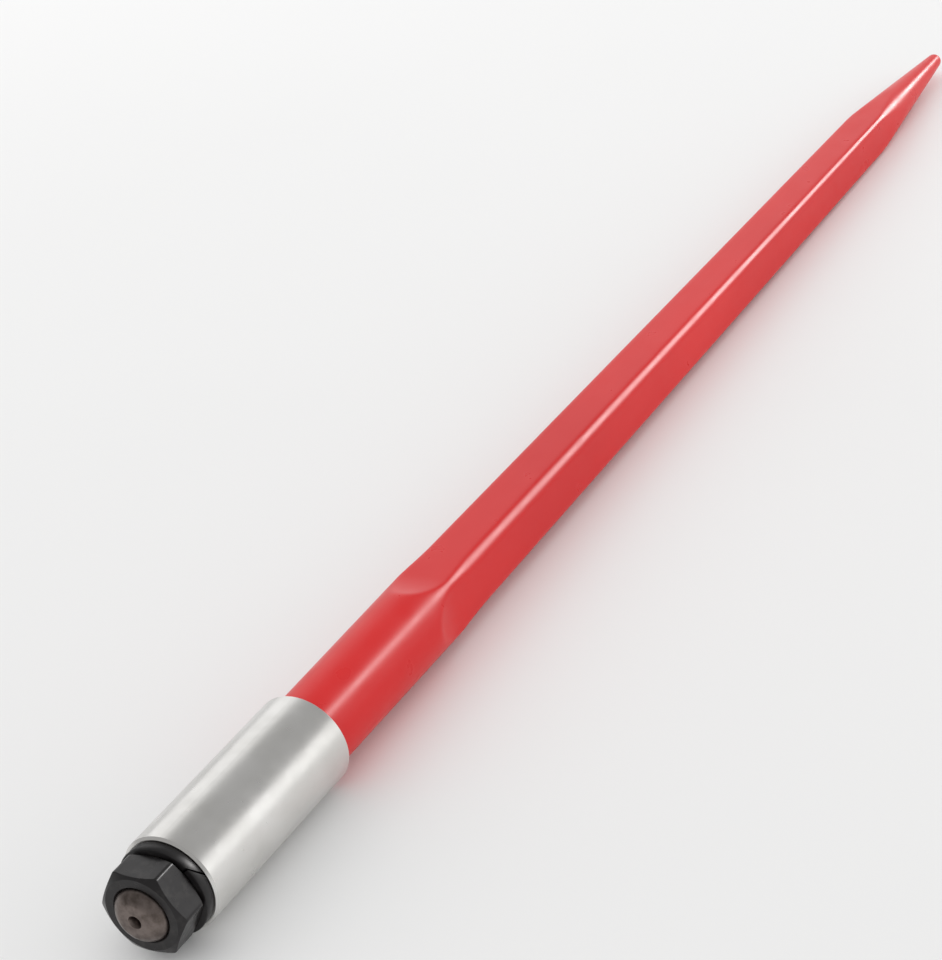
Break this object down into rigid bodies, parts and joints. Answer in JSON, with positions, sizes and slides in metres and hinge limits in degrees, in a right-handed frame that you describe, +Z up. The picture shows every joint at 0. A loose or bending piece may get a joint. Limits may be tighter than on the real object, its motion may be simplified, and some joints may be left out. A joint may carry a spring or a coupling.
{
  "type": "bale spear",
  "caption": "Long tapered steel bale spear with a conical point, a round tapered seat in a weld-in sleeve, and a split lock washer and hex nut on its threaded end.",
  "frame": {"origin": "middle of the weld-in sleeve, on the spear's axis", "axes": "+X along the spear's axis from the threaded end to the point, +Z up; the bar's four flats face up, down and to the sides (Z and Y)"},
  "size_m": [0.9906, 0.0508, 0.0508],
  "materials": {
    "spear_paint": "semi-gloss red paint over forged steel; the threaded end is bare dark steel",
    "sleeve_steel": "satin machined mild steel, ready to weld",
    "washer_black": "black oxide spring steel",
    "nut_black": "black oxide, slightly glossy"
  },
  "bodies": {
    "root": {"spear": "spear_paint", "sleeve": "sleeve_steel", "lock_washer": "washer_black", "hex_nut": "nut_black"}
  },
  "joints": []
}
